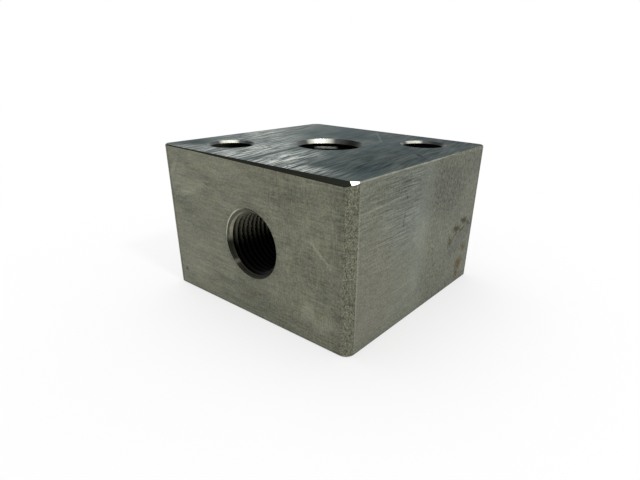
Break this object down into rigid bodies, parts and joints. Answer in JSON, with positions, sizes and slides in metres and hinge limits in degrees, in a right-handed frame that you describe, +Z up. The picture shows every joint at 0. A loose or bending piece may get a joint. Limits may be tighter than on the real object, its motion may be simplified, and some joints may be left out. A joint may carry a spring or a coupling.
{
  "type": "unloader block",
  "caption": "Rectangular steel hydraulic block with a threaded cartridge cavity in its top, a pipe port in one side, a flow hole beneath and two through bolt holes.",
  "frame": {"origin": "centre of the underside", "axes": "+Z up, out of the cartridge cavity; -Y out of the pipe port"},
  "size_m": [0.0762, 0.0746, 0.0476],
  "materials": {
    "ground_steel": "brushed"
  },
  "bodies": {
    "root": {"block_body": "ground_steel"}
  },
  "joints": []
}
